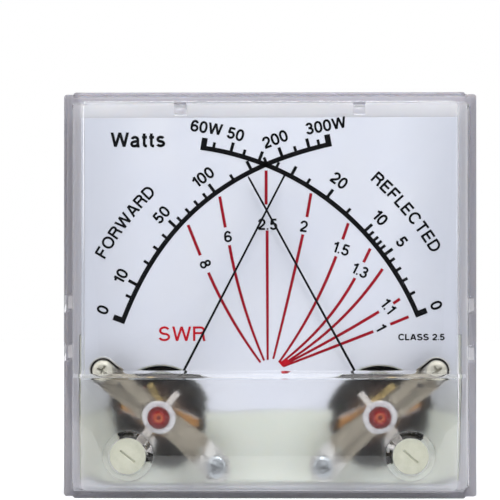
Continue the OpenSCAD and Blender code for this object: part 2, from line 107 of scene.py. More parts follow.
# ------------------------------------------------------------------ node helpers
class Mat:
    """A material and short calls that add and join its nodes."""

    def __init__(self, name):
        self.m = bpy.data.materials.new(name)
        self.m.use_nodes = True
        self.nt = self.m.node_tree
        self.nt.nodes.clear()
        self.out = self.nt.nodes.new("ShaderNodeOutputMaterial")
        self.p = self.nt.nodes.new("ShaderNodeBsdfPrincipled")
        self.nt.links.new(self.p.outputs[0], self.out.inputs["Surface"])
        tc = self.nt.nodes.new("ShaderNodeTexCoord")
        s = self.nt.nodes.new("ShaderNodeVectorMath")
        s.operation = "SCALE"
        self.nt.links.new(tc.outputs["Object"], s.inputs[0])
        s.inputs["Scale"].default_value = 1000.0
        self.mm = s.outputs[0]
        self._bump = None

    def link(self, a, b):
        self.nt.links.new(a, b)
        return b

    def put(self, sock, v):
        if hasattr(v, "is_output"):
            self.nt.links.new(v, sock)
        else:
            sock.default_value = v

    def set(self, **kw):
        for k, v in kw.items():
            self.put(self.p.inputs[k.replace("_", " ")], v)
        return self

    def math(self, op, a, b=0.0, clamp=False):
        n = self.nt.nodes.new("ShaderNodeMath")
        n.operation = op
        n.use_clamp = clamp
        self.put(n.inputs[0], a)
        if len(n.inputs) > 1:
            self.put(n.inputs[1], b)
        return n.outputs[0]

    def xyz(self):
        n = self.nt.nodes.new("ShaderNodeSeparateXYZ")
        self.link(self.mm, n.inputs[0])
        return n.outputs

    def vec(self, scale=(1, 1, 1), loc=(0, 0, 0), rot=(0, 0, 0)):
        n = self.nt.nodes.new("ShaderNodeMapping")
        self.link(self.mm, n.inputs["Vector"])
        n.inputs["Scale"].default_value = scale
        n.inputs["Location"].default_value = loc
        n.inputs["Rotation"].default_value = rot
        return n.outputs[0]

    def noise(self, scale, detail=3.0, rough=0.55, vector=None, dist=0.0):
        n = self.nt.nodes.new("ShaderNodeTexNoise")
        self.link(vector if vector is not None else self.mm, n.inputs["Vector"])
        n.inputs["Scale"].default_value = scale
        n.inputs["Detail"].default_value = detail
        n.inputs["Roughness"].default_value = rough
        n.inputs["Distortion"].default_value = dist
        return n.outputs["Fac"]

    def voronoi(self, scale, vector=None, feature="F1", out="Distance"):
        n = self.nt.nodes.new("ShaderNodeTexVoronoi")
        n.feature = feature
        self.link(vector if vector is not None else self.mm, n.inputs["Vector"])
        n.inputs["Scale"].default_value = scale
        return n.outputs[out]

    def wave(self, scale, vector=None, axis="X", dist=0.0, kind="BANDS", detail=2.0, dscale=1.0):
        n = self.nt.nodes.new("ShaderNodeTexWave")
        n.wave_type = kind
        if kind == "BANDS":
            n.bands_direction = axis
        else:
            n.rings_direction = axis
        self.link(vector if vector is not None else self.mm, n.inputs["Vector"])
        n.inputs["Scale"].default_value = scale
        n.inputs["Distortion"].default_value = dist
        n.inputs["Detail"].default_value = detail
        n.inputs["Detail Scale"].default_value = dscale
        return n.outputs["Fac"]

    def remap(self, v, a0, a1, b0, b1, smooth=False):
        n = self.nt.nodes.new("ShaderNodeMapRange")
        n.clamp = True
        if smooth:
            n.interpolation_type = "SMOOTHSTEP"
        self.put(n.inputs["Value"], v)
        for k, x in zip(("From Min", "From Max", "To Min", "To Max"), (a0, a1, b0, b1)):
            n.inputs[k].default_value = x
        return n.outputs["Result"]

    def mix(self, f, a, b):
        n = self.nt.nodes.new("ShaderNodeMix")
        n.data_type = "RGBA"
        self.put(n.inputs[0], f)
        for sock, v in ((n.inputs[6], a), (n.inputs[7], b)):
            if isinstance(v, tuple) and len(v) == 3:
                v = (*v, 1.0)
            self.put(sock, v)
        return n.outputs[2]

    def bump(self, height, dist_mm, strength=1.0):
        n = self.nt.nodes.new("ShaderNodeBump")
        n.inputs["Strength"].default_value = strength
        n.inputs["Distance"].default_value = dist_mm * MM
        self.put(n.inputs["Height"], height)
        if self._bump is not None:
            self.link(self._bump, n.inputs["Normal"])
        self._bump = n.outputs[0]
        self.put(self.p.inputs["Normal"], self._bump)
        return self


def srgb(r, g, b):
    def f(c):
        c /= 255.0
        return c / 12.92 if c <= 0.04045 else ((c + 0.055) / 1.055) ** 2.4
    return (f(r), f(g), f(b))


# ------------------------------------------------------------------ materials
MATS = {}


def metal(name, col, dark, rough=(0.2, 0.42), grain=(1.0, 1.0, 1.0), gscale=3.0, bump=0.004, spots=0.25):
    """Worked metal: a brushed or tumbled grain, tarnish in patches, and roughness that follows both."""
    m = Mat(name)
    g = m.noise(gscale, 5.0, 0.6, vector=m.vec(scale=grain))
    patch = m.noise(0.35, 4.0, 0.6)
    fine = m.noise(14.0, 3.0, 0.6)
    tarn = m.remap(patch, 0.42, 0.72, 0.0, 1.0, True)
    base = m.mix(m.math("MULTIPLY", tarn, spots + 0.35), col, dark)
    base = m.mix(m.remap(g, 0.3, 0.75, 0.0, 0.22), base, tuple(c * 0.55 for c in dark))
    m.set(Base_Color=base, Metallic=1.0)
    r = m.remap(g, 0.25, 0.75, rough[0], rough[1])
    r = m.math("ADD", r, m.math("MULTIPLY", tarn, 0.1))
    m.set(Roughness=r)
    m.bump(g, bump)
    m.bump(fine, bump * 0.5)
    MATS[name] = m.m
    return m


metal("brass", (0.80, 0.60, 0.24), (0.50, 0.33, 0.12), (0.16, 0.34))
metal("nickel", (0.72, 0.70, 0.66), (0.42, 0.40, 0.36), (0.14, 0.3))
metal("zinc", (0.46, 0.50, 0.52), (0.27, 0.29, 0.30), (0.18, 0.36), spots=0.3)
zf_ = metal("zinc_front", (0.46, 0.50, 0.52), (0.27, 0.29, 0.30), (0.18, 0.36), spots=0.3)
sx_, sy_, sz_ = zf_.xyz()
# painted highlight: above the cover's step the same screws are painted pale cream and made rougher; the pale colour
# stands in for light on their heads
upper_screw_highlight = zf_.remap(sz_, MID - 18.5, MID - 17.5, 0.0, 1.0)
old_c = zf_.p.inputs["Base Color"].links[0].from_socket
old_r = zf_.p.inputs["Roughness"].links[0].from_socket
zf_.set(Base_Color=zf_.mix(zf_.math("MULTIPLY", upper_screw_highlight, 0.9), old_c, (0.62, 0.60, 0.50)),
        Roughness=zf_.math("ADD", old_r, zf_.math("MULTIPLY", upper_screw_highlight, 0.28)))
metal("tinned", (0.74, 0.74, 0.72), (0.48, 0.47, 0.45), (0.22, 0.48), gscale=1.5)
metal("spring_steel", (0.40, 0.41, 0.44), (0.18, 0.18, 0.21), (0.16, 0.34))
metal("aluminium", (0.80, 0.81, 0.83), (0.55, 0.56, 0.58), (0.25, 0.45), grain=(1, 0.15, 1), gscale=8)
metal("lever_metal", (0.80, 0.76, 0.70), (0.58, 0.54, 0.48), (0.34, 0.5), bump=0.003)
metal("bronze", (0.74, 0.50, 0.24), (0.44, 0.26, 0.10), (0.16, 0.34))
metal("bridge_metal", (0.36, 0.325, 0.255), (0.27, 0.24, 0.185), (0.26, 0.4), grain=(0.4, 0.4, 2.2), gscale=6.0, bump=0.004)
bm_ = metal("bridge_metal_front", (0.36, 0.325, 0.255), (0.27, 0.24, 0.185), (0.26, 0.4), grain=(0.4, 0.4, 2.2), gscale=6.0, bump=0.004)
bx, by, bz = bm_.xyz()
bdx = bm_.math("SUBTRACT", bm_.math("ABSOLUTE", bx), HUB_X)
bdz = bm_.math("SUBTRACT", bz, MID + HUB_Z)
br = bm_.math("POWER", bm_.math("ADD", bm_.math("MULTIPLY", bdx, bdx), bm_.math("MULTIPLY", bdz, bdz)), 0.5)
# painted reflection: the bar's two ends, around its screws, are painted near white; below the pivot from 9.8 mm out,
# above it from 12 mm out
below = bm_.math("MULTIPLY", bm_.remap(bdz, -0.5, 0.5, 1.0, 0.0), bm_.remap(br, 9.8, 11.6, 0.0, 1.0, True))
above = bm_.math("MULTIPLY", bm_.remap(bdz, -0.5, 0.5, 0.0, 1.0), bm_.remap(br, 12.0, 13.4, 0.0, 1.0, True))
painted_sheen_ends = bm_.math("MAXIMUM", below, above)
old = bm_.p.inputs["Base Color"].links[0].from_socket
col = bm_.mix(bm_.math("MULTIPLY", painted_sheen_ends, 0.85), old, (0.82, 0.82, 0.78))
# u runs along the bar to its upper end, v across it; d is the distance from its middle line
ca, sa = math.cos(math.radians(40.2)), math.sin(math.radians(40.2))
u = bm_.math("ADD", bm_.math("MULTIPLY", bdx, ca), bm_.math("MULTIPLY", bdz, sa))
v = bm_.math("SUBTRACT", bm_.math("MULTIPLY", bdz, ca), bm_.math("MULTIPLY", bdx, sa))
past = bm_.math("MAXIMUM", bm_.math("SUBTRACT", u, 14.3), 0.0)
d = bm_.math("POWER", bm_.math("ADD", bm_.math("MULTIPLY", past, past), bm_.math("MULTIPLY", v, v)), 0.5)
# painted dark reflection: a near-black band just inside the rounded edge of the bar's upper end, from 11.4 mm along the
# bar
line = bm_.math("MULTIPLY", bm_.remap(d, 1.9, 2.15, 0.0, 1.0), bm_.remap(d, 2.42, 2.5, 1.0, 0.0))
line = bm_.math("MULTIPLY", line, bm_.remap(u, 11.4, 12.4, 0.0, 0.95))
bm_.set(Base_Color=bm_.mix(line, col, (0.016, 0.011, 0.010)))
# near-black brass for the core clamps: the dark colour is painted shade for parts deep in the movement
metal("brass_painted_shade", (0.030, 0.025, 0.018), (0.016, 0.013, 0.010), (0.4, 0.6), spots=0.4)


def soft_iron():
    m = Mat("soft_iron")
    n = m.noise(2.2, 6.0, 0.62)
    f = m.noise(18.0, 3.0, 0.6)
    col = m.mix(m.remap(n, 0.35, 0.7, 0, 1), (0.005, 0.0045, 0.004), (0.016, 0.013, 0.011))
    m.set(Base_Color=col, Metallic=0.1, Roughness=m.remap(f, 0.3, 0.7, 0.45, 0.68))
    m.p.inputs["Specular IOR Level"].default_value = 0.16
    m.bump(f, 0.01)
    MATS["soft_iron"] = m.m


def magnet():
    """Cast magnet, ground on its ends, with a coarse crystalline grain."""
    m = Mat("magnet")
    v = m.voronoi(2.4, out="Color")
    sep = m.nt.nodes.new("ShaderNodeSeparateColor")
    m.link(v, sep.inputs[0])
    rings = m.wave(3.0, vector=m.vec(), axis="Y", kind="BANDS", dist=1.2)
    n = m.noise(6.0, 5.0)
    col = m.mix(m.remap(sep.outputs[0], 0, 1, 0, 0.7), (0.036, 0.019, 0.012), (0.075, 0.040, 0.026))
    col = m.mix(m.remap(n, 0.35, 0.7, 0.0, 0.4), col, (0.020, 0.012, 0.009))
    m.p.inputs["Specular IOR Level"].default_value = 0.25
    m.set(Base_Color=col, Metallic=0.35, Roughness=m.remap(n, 0.3, 0.7, 0.32, 0.52))
    m.bump(n, 0.012)
    m.bump(rings, 0.002)
    MATS["magnet"] = m.m


def dial_white():
    m = Mat("dial_white")
    g = m.noise(9.0, 4.0, 0.6)
    o = m.noise(0.09, 3.0, 0.5)
    col = m.mix(m.remap(o, 0.3, 0.7, 0, 1), srgb(235, 238, 245), srgb(239, 241, 245))
    col = m.mix(m.remap(g, 0.45, 0.75, 0, 0.12), col, srgb(216, 219, 226))
    x, y, z = m.xyz()
    # painted shade: the dial greys towards its left and right edges, where the cover's side walls shade it, and greys
    # further at its lower side corners
    side = m.remap(m.math("ABSOLUTE", x), 22.0, 36.5, 0.0, 1.0, True)
    foot = m.remap(z, 14.0, 30.0, 1.0, 0.0, True)
    col = m.mix(m.math("MULTIPLY", side, 0.75), col, srgb(212, 215, 222))
    col = m.mix(m.math("MULTIPLY", m.math("MULTIPLY", side, foot), 0.8), col, srgb(184, 185, 172))
    m.set(Base_Color=col, Roughness=m.remap(g, 0.3, 0.7, 0.38, 0.5), Coat_Weight=0.0)
    m.bump(g, 0.006)
    m.bump(m.noise(40.0, 2.0), 0.0015)
    MATS["dial_white"] = m.m


def ink(name, col, edge):
    """Screen-printed ink: slightly uneven cover, with a faint orange-peel gloss."""
    m = Mat(name)
    n = m.noise(6.0, 5.0, 0.65)
    f = m.noise(26.0, 2.0)
    m.set(Base_Color=m.mix(m.remap(n, 0.35, 0.75, 0, 1), col, edge), Roughness=m.remap(f, 0.3, 0.7, 0.4, 0.56))
    m.p.inputs["Specular IOR Level"].default_value = 0.12
    m.bump(f, 0.003)
    MATS[name] = m.m


def moulded(name, light, dark, spot, rim_painted_shade, x0=24.0, x1=34.5, left=0.85, right=0.45):
    """Milky moulded plastic with flow marks and a fine satin, with painted shade that darkens it towards its outer left
    and right sides.
    """
    m = Mat(name)
    flow = m.noise(0.12, 4.0, 0.6, vector=m.vec(scale=(1, 1, 0.35)), dist=0.8)
    f = m.noise(11.0, 3.0, 0.6)
    s = m.noise(0.9, 5.0, 0.7)
    col = m.mix(m.remap(flow, 0.3, 0.7, 0, 1), dark, light)
    col = m.mix(m.remap(s, 0.62, 0.8, 0, 0.25), col, spot)
    x, y, z = m.xyz()
    # painted shade: darker towards the outer sides past x0, by up to left on the left and up to right on the right
    col = m.mix(m.remap(x, -x1, -x0, left, 0.0, True), col, rim_painted_shade)
    col = m.mix(m.remap(x, x0, x1, 0.0, right, True), col, rim_painted_shade)
    m.set(Base_Color=col, Roughness=m.remap(f, 0.3, 0.7, 0.3, 0.46))
    m.p.inputs["Subsurface Weight"].default_value = 0.25
    m.p.inputs["Subsurface Radius"].default_value = (1.0, 0.8, 0.6)
    m.p.inputs["Subsurface Scale"].default_value = 0.001
    m.bump(f, 0.006)
    m.bump(flow, 0.02)
    MATS[name] = m.m


def screw_plastic():
    m = Mat("screw_plastic")
    f = m.noise(9.0, 3.0, 0.6)
    s = m.noise(0.6, 4.0, 0.6)
    col = m.mix(m.remap(s, 0.35, 0.7, 0, 1), srgb(186, 187, 172), srgb(174, 175, 159))
    m.set(Base_Color=col, Roughness=m.remap(f, 0.3, 0.7, 0.22, 0.36))
    m.p.inputs["Subsurface Weight"].default_value = 0.3
    m.p.inputs["Subsurface Radius"].default_value = (1.0, 0.9, 0.7)
    m.p.inputs["Subsurface Scale"].default_value = 0.0008
    m.bump(f, 0.005)
    MATS["screw_plastic"] = m.m


def insulator():
    m = Mat("insulator")
    f = m.noise(8.0, 3.0, 0.6)
    col = m.mix(m.remap(m.noise(0.8, 4.0), 0.35, 0.7, 0, 1), (0.66, 0.65, 0.64), (0.78, 0.77, 0.76))
    m.set(Base_Color=col, Metallic=0.35, Roughness=m.remap(f, 0.3, 0.7, 0.3, 0.45))
    m.bump(f, 0.005)
    MATS["insulator"] = m.m


def red_lacquer():
    m = Mat("red_lacquer")
    n = m.noise(1.6, 4.0, 0.6)
    f = m.noise(12.0, 2.0)
    col = m.mix(m.remap(n, 0.35, 0.7, 0, 1), (0.36, 0.008, 0.006), (0.25, 0.005, 0.005))
    x, y, z = m.xyz()
    dx = m.math("SUBTRACT", m.math("ABSOLUTE", x), HUB_X)
    dz = m.math("SUBTRACT", z, MID + HUB_Z)
    r = m.math("POWER", m.math("ADD", m.math("MULTIPLY", dx, dx), m.math("MULTIPLY", dz, dz)), 0.5)
    worn = m.math("MULTIPLY", m.remap(r, 0.42, 0.55, 0.0, 1.0), m.remap(r, 0.78, 0.95, 1.0, 0.0))
    col = m.mix(m.math("MULTIPLY", worn, m.remap(n, 0.3, 0.65, 0.35, 0.9)), col, (0.55, 0.16, 0.035))
    col = m.mix(m.remap(r, 0.3, 0.5, 0.7, 0.0), col, (0.10, 0.008, 0.008))
    col = m.mix(m.remap(r, 1.15, 1.5, 0.0, 0.75), col, (0.09, 0.004, 0.004))
    m.set(Base_Color=col, Roughness=m.remap(f, 0.3, 0.7, 0.2, 0.34))
    m.p.inputs["Coat Weight"].default_value = 0.12
    m.p.inputs["Specular IOR Level"].default_value = 0.25
    m.bump(f, 0.004)
    MATS["red_lacquer"] = m.m


def ruby():
    m = Mat("ruby")
    n = m.noise(3.0, 3.0)
    col = m.mix(m.remap(n, 0.35, 0.7, 0, 1), (0.62, 0.03, 0.16), (0.42, 0.015, 0.09))
    m.set(Base_Color=col, Roughness=m.remap(n, 0.3, 0.7, 0.05, 0.12))
    m.p.inputs["IOR"].default_value = 1.76
    MATS["ruby"] = m.m


def needle_black():
    m = Mat("needle_black")
    n = m.noise(4.0, 4.0)
    m.set(Base_Color=m.mix(m.remap(n, 0.35, 0.7, 0, 1), (0.0025, 0.0025, 0.003), (0.006, 0.006, 0.007)),
          Roughness=m.remap(n, 0.3, 0.7, 0.4, 0.56))
    m.p.inputs["Specular IOR Level"].default_value = 0.15
    m.bump(n, 0.003)
    MATS["needle_black"] = m.m


def copper():
    """Enamelled copper wire: amber varnish over the metal, uneven along each turn."""
    m = Mat("copper")
    n = m.noise(1.2, 4.0, 0.6)
    f = m.noise(10.0, 3.0)
    col = m.mix(m.remap(n, 0.35, 0.7, 0, 1), (0.80, 0.40, 0.05), (0.55, 0.22, 0.03))
    m.set(Base_Color=col, Metallic=0.7, Roughness=m.remap(f, 0.3, 0.7, 0.22, 0.36))
    m.p.inputs["Coat Weight"].default_value = 0.6
    m.p.inputs["Coat Roughness"].default_value = 0.12
    m.bump(f, 0.003)
    MATS["copper"] = m.m


STEP_Z = -14.4


def clear_cover():
    """Clear moulded plastic. The inner face of the lower zone is frosted; everything else is polished."""
    m = Mat("clear_cover")
    x, y, z = m.xyz()
    zf = m.math("SUBTRACT", z, MID)
    low = m.remap(zf, STEP_Z - 2.15, STEP_Z - 2.03, 1.0, 0.0)
    deep = m.math("MULTIPLY", m.remap(y, -5.3, -5.0, 0.0, 1.0), m.remap(y, -4.3, -4.0, 1.0, 0.0))
    mask = m.math("MULTIPLY", low, deep)
    haze = m.noise(0.5, 4.0, 0.6)
    polished = m.remap(haze, 0.35, 0.75, 0.0, 0.035)
    frost = m.remap(m.noise(3.0, 3.0), 0.3, 0.7, 0.33, 0.38)
    rough = m.math("ADD", m.math("MULTIPLY", mask, frost),
                   m.math("MULTIPLY", m.math("SUBTRACT", 1.0, mask), polished))
    m.set(Base_Color=m.mix(m.remap(haze, 0.3, 0.7, 0, 1), (0.975, 0.98, 0.99), (0.985, 0.985, 0.99)), Roughness=rough)
    m.p.inputs["Transmission Weight"].default_value = 1.0
    m.p.inputs["IOR"].default_value = 1.5
    m.bump(m.noise(0.12, 2.0, 0.5), 0.003)
    lp = m.nt.nodes.new("ShaderNodeLightPath")
    tr = m.nt.nodes.new("ShaderNodeBsdfTransparent")
    tr.inputs[0].default_value = (0.9, 0.91, 0.93, 1.0)
    mx = m.nt.nodes.new("ShaderNodeMixShader")
    m.link(m.math("MAXIMUM", lp.outputs["Is Shadow Ray"], lp.outputs["Is Diffuse Ray"]), mx.inputs[0])
    m.link(m.p.outputs[0], mx.inputs[1])
    m.link(tr.outputs[0], mx.inputs[2])
    m.link(mx.outputs[0], m.out.inputs["Surface"])
    # the plastic itself is faintly grey, which shows where it is seen through its depth
    va = m.nt.nodes.new("ShaderNodeVolumeAbsorption")
    va.inputs["Color"].default_value = (0.74, 0.72, 0.755, 1.0)
    va.inputs["Density"].default_value = 80.0
    m.link(va.outputs[0], m.out.inputs["Volume"])
    MATS["clear_cover"] = m.m


moulded("case_plastic", (0.80, 0.825, 0.72), (0.74, 0.77, 0.65), (0.64, 0.65, 0.53), (0.50, 0.505, 0.42))
moulded("case_white", (0.82, 0.815, 0.815), (0.79, 0.785, 0.79), (0.68, 0.675, 0.68), (0.52, 0.51, 0.515),
        36.2, 37.6, 0.85, 0.7)
soft_iron(); magnet(); dial_white(); screw_plastic(); insulator()
red_lacquer(); ruby(); needle_black(); copper(); clear_cover()
ink("ink_black", (0.0022, 0.0024, 0.0032), (0.005, 0.005, 0.006))
ink("ink_red", (0.40, 0.010, 0.022), (0.32, 0.008, 0.018))
ink("ink_wedge", (0.62, 0.012, 0.024), (0.52, 0.010, 0.020))


# ------------------------------------------------------------------ mesh helpers
def finish_piece(name, bm, body, mat, sharp=35.0, smooth=True):
    bmesh.ops.recalc_face_normals(bm, faces=bm.faces[:])
    me = bpy.data.meshes.new(name)
    bm.to_mesh(me)
    bm.free()
    me.materials.append(MATS[mat])
    for p in me.polygons:
        p.use_smooth = smooth
    if smooth:
        me.set_sharp_from_angle(angle=math.radians(sharp))
    o = bpy.data.objects.new(name, me)
    scene.collection.objects.link(o)
    if body is not None:
        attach(o, body)
    return o


def edge_angle(e):
    return e.calc_face_angle(0.0) if len(e.link_faces) == 2 else 0.0


def refined(node, name, mat, bevel=0.08, segs=2, angle=38.0, sharp=32.0, wide=()):
    """A CAD node's own shape with its hard edges broken, as a moulded or machined edge is.
    wide lists (test for an edge, width mm, segments) for edges that get a bigger radius first."""
    src = NODES[node]
    for w in (bevel, bevel * 0.5, 0.0):
        bm = bmesh.new()
        bm.from_mesh(src.data)
        bmesh.ops.remove_doubles(bm, verts=bm.verts[:], dist=2e-7)
        bmesh.ops.dissolve_limit(bm, angle_limit=math.radians(0.3), use_dissolve_boundaries=False,
                                 verts=bm.verts[:], edges=bm.edges[:])
        if w > 0:
            for test, width, count in wide:
                es = [e for e in bm.edges if len(e.link_faces) == 2 and edge_angle(e) > math.radians(5) and test(e)]
                print("wide bevel on", len(es), "edges of", node, flush=True)
                bmesh.ops.bevel(bm, geom=es, offset=width * MM, offset_type="OFFSET", segments=count, profile=0.5,
                                affect="EDGES", clamp_overlap=True, harden_normals=False)
            es = [e for e in bm.edges if len(e.link_faces) == 2 and edge_angle(e) > math.radians(angle)]
            if es:
                bmesh.ops.bevel(bm, geom=es, offset=w * MM, offset_type="OFFSET", segments=segs, profile=0.5,
                                affect="EDGES", clamp_overlap=True, harden_normals=False)
            bmesh.ops.remove_doubles(bm, verts=bm.verts[:], dist=2e-7)
        bad = [e for e in bm.edges if len(e.link_faces) != 2]
        lo = [min(v.co[i] for v in bm.verts) for i in range(3)]
        hi = [max(v.co[i] for v in bm.verts) for i in range(3)]
        a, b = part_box(node)
        inside = all(lo[i] > a[i] - 2e-6 and hi[i] < b[i] + 2e-6 for i in range(3))
        if (not bad and inside) or w == 0:
            print("refined", node, "bevel", round(w, 3), "faces", len(bm.faces), "open edges", len(bad), flush=True)
            break
        print("refined", node, "bevel", round(w, 3), "gave", len(bad), "open edges, inside", inside, flush=True)
        bm.free()
    body = src["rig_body"]
    o = finish_piece(name, bm, body, mat, sharp=sharp)
    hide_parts(node)
    return o


def quad_strip(bm, ring_a, ring_b):
    n = len(ring_a)
    for i in range(n):
        j = (i + 1) % n
        bm.faces.new((ring_a[i], ring_a[j], ring_b[j], ring_b[i]))


def prism(bm, pts, y0, y1):
    """Closed prism of a simple outline (x, z from the face middle, mm) between two depths."""
    area = sum(pts[i][0] * pts[(i + 1) % len(pts)][1] - pts[(i + 1) % len(pts)][0] * pts[i][1] for i in range(len(pts)))
    if area < 0:
        pts = pts[::-1]
    a = [bm.verts.new((p[0] * MM, y0 * MM, (p[1] + MID) * MM)) for p in pts]
    b = [bm.verts.new((p[0] * MM, y1 * MM, (p[1] + MID) * MM)) for p in pts]
    bm.faces.new(a)
    bm.faces.new(b[::-1])
    quad_strip(bm, b, a)


def pol(side, r, deg):
    """Point by radius and degrees from the vertical (minus is left) about a pivot."""
    a = math.radians(deg)
    return (side * HUB_X + r * math.sin(a), HUB_Z + r * math.cos(a))


INK_Y0, INK_Y1 = 2.965, 3.004


def tick(bm, side, deg, r0, r1, w):
    a = math.radians(deg)
    d, t = (math.sin(a), math.cos(a)), (math.cos(a), -math.sin(a))
    c = (side * HUB_X, HUB_Z)
    pts = [(c[0] + d[0] * r + t[0] * s, c[1] + d[1] * r + t[1] * s)
           for r, s in ((r0, -w / 2), (r0, w / 2), (r1, w / 2), (r1, -w / 2))]
    prism(bm, pts, INK_Y0 - 0.002, INK_Y1)


def oval(cx, cy, rx, ry, a0, a1, step=9.0, p=2.0):
    """Points along an oval from angle a0 to a1; p above 2 squares it up a little."""
    n = max(2, int(abs(a1 - a0) / step + 0.5))
    out = []
    for i in range(n + 1):
        a = math.radians(a0 + (a1 - a0) * i / n)
        c, t = math.cos(a), math.sin(a)
        out.append((cx + rx * math.copysign(abs(c) ** (2.0 / p), c), cy + ry * math.copysign(abs(t) ** (2.0 / p), t)))
    return out


LOOP, LINE, SLAB, STEMS = "loop", "line", "slab", "stems"


def slab(xb, xt, y0=0.0, y1=1.0):
    """A slanted stem whose two ends are cut level."""
    return (STEMS, (xb, xt, y0, y1))


def stem_points(xb, xt, y0, y1, w):
    h = w / 2 * math.sqrt(1 + ((xt - xb) / (y1 - y0)) ** 2)
    return [(xb - h, y0), (xb + h, y0), (xt + h, y1), (xt - h, y1)]


def full(cx, cy, rx, ry, p=2.0):
    return (LOOP, oval(cx, cy, rx, ry, 0, 360, 12.0, p)[:-1])


STEM = (LINE, [(0.07, 0.0), (0.07, 1.0)])
# plain grotesque letters: cap height 1, stroke 0.14, as centre lines; first value is the ink's width
GLYPHS = {
    "0": (0.66, [full(0.33, 0.5, 0.262, 0.437, 2.25)]),
    "1": (0.40, [(LINE, [(0.33, 0.0), (0.33, 1.0)]), (LINE, [(0.03, 0.755), (0.15, 0.77), (0.24, 0.82), (0.30, 0.90), (0.325, 0.985)])]),
    "2": (0.65, [(LINE, oval(0.325, 0.675, 0.252, 0.262, 172, -22) + [(0.50, 0.49), (0.385, 0.375), (0.23, 0.26), (0.13, 0.165), (0.09, 0.05)]),
                 (LINE, [(0.02, 0.07), (0.63, 0.07)])]),
    "3": (0.65, [(LINE, oval(0.32, 0.735, 0.215, 0.20, 165, -82)), (LINE, oval(0.32, 0.295, 0.258, 0.23, 84, -166)),
                 (LINE, [(0.235, 0.53), (0.36, 0.53)])]),
    "5": (0.66, [(LINE, [(0.60, 0.93), (0.15, 0.93)]), (LINE, [(0.175, 0.97), (0.12, 0.455)]), (LINE, oval(0.325, 0.32, 0.262, 0.252, 146, -160))]),
    "6": (0.66, [(LINE, oval(0.345, 0.5, 0.272, 0.435, 36, 180) + [(0.073, 0.40), (0.075, 0.31)]), full(0.335, 0.305, 0.258, 0.238)]),
    "8": (0.66, [full(0.33, 0.735, 0.205, 0.20), full(0.33, 0.292, 0.258, 0.224)]),
    ".": (0.15, [(SLAB, [(0.0, 0.0), (0.15, 0.0), (0.15, 0.15), (0.0, 0.15)])]),
    "W": (1.22, [slab(0.31, 0.07), slab(0.31, 0.61), slab(0.91, 0.61), slab(0.91, 1.15)]),
    "F": (0.68, [STEM, (LINE, [(0.05, 0.93), (0.68, 0.93)]), (LINE, [(0.05, 0.515), (0.60, 0.515)])]),
    "O": (0.94, [full(0.47, 0.5, 0.40, 0.44, 2.1)]),
    "R": (0.80, [STEM, (LINE, [(0.05, 0.93), (0.46, 0.93)] + oval(0.47, 0.735, 0.235, 0.195, 88, -88) + [(0.46, 0.54), (0.05, 0.54)]),
                 (LINE, [(0.52, 0.54), (0.64, 0.47), (0.675, 0.36), (0.69, 0.16), (0.735, 0.0)])]),
    "A": (0.84, [slab(0.08, 0.385), slab(0.76, 0.455), (LINE, [(0.19, 0.31), (0.65, 0.31)])]),
    "D": (0.82, [STEM, (LINE, [(0.05, 0.93), (0.36, 0.93)] + oval(0.36, 0.5, 0.39, 0.43, 88, -88) + [(0.36, 0.07), (0.05, 0.07)])]),
    "E": (0.70, [STEM, (LINE, [(0.05, 0.93), (0.68, 0.93)]), (LINE, [(0.05, 0.515), (0.64, 0.515)]), (LINE, [(0.05, 0.07), (0.70, 0.07)])]),
    "L": (0.60, [STEM, (LINE, [(0.05, 0.07), (0.60, 0.07)])]),
    "C": (0.86, [(LINE, oval(0.46, 0.5, 0.39, 0.44, 40, 320))]),
    "T": (0.74, [(LINE, [(0.37, 0.0), (0.37, 1.0)]), (LINE, [(0.0, 0.93), (0.74, 0.93)])]),
    "S": (0.76, [(LINE, oval(0.385, 0.715, 0.275, 0.222, 24, 262) + oval(0.375, 0.278, 0.308, 0.215, 82, -164))]),
    "a": (0.66, [(LINE, oval(0.30, 0.49, 0.205, 0.18, 165, 2) + [(0.505, 0.40), (0.507, 0.14), (0.53, 0.055), (0.63, 0.06)]),
                 (LINE, [(0.505, 0.425), (0.40, 0.39)] + oval(0.26, 0.205, 0.185, 0.15, 95, 262) + [(0.33, 0.06), (0.45, 0.115), (0.507, 0.22)])]),
    "t": (0.36, [(LINE, [(0.15, 0.93), (0.15, 0.20), (0.17, 0.11), (0.235, 0.065), (0.345, 0.062)]), (LINE, [(0.0, 0.665), (0.34, 0.665)])]),
    "s": (0.60, [(LINE, oval(0.30, 0.53, 0.20, 0.146, 24, 262) + oval(0.295, 0.222, 0.225, 0.155, 82, -160))]),
}
GAP = 0.135


def ribbon(pts, w, loop=False):
    """Left and right edges of a stroke of width w along a line, mitred at its turns."""
    n = len(pts)
    left, right = [], []
    for i in range(n):
        a = pts[i - 1] if (i > 0 or loop) else None
        b = pts[(i + 1) % n] if (i < n - 1 or loop) else None
        p = pts[i]
        d0 = Vector((p[0] - a[0], p[1] - a[1])).normalized() if a else None
        d1 = Vector((b[0] - p[0], b[1] - p[1])).normalized() if b else None
        d0, d1 = d0 or d1, d1 or d0
        n0, n1 = Vector((-d0[1], d0[0])), Vector((-d1[1], d1[0]))
        m = (n0 + n1).normalized()
        k = min(1.0 / max(m.dot(n0), 0.35), 1.6) * w / 2
        left.append((p[0] + m[0] * k, p[1] + m[1] * k))
        right.append((p[0] - m[0] * k, p[1] - m[1] * k))
    return left, right


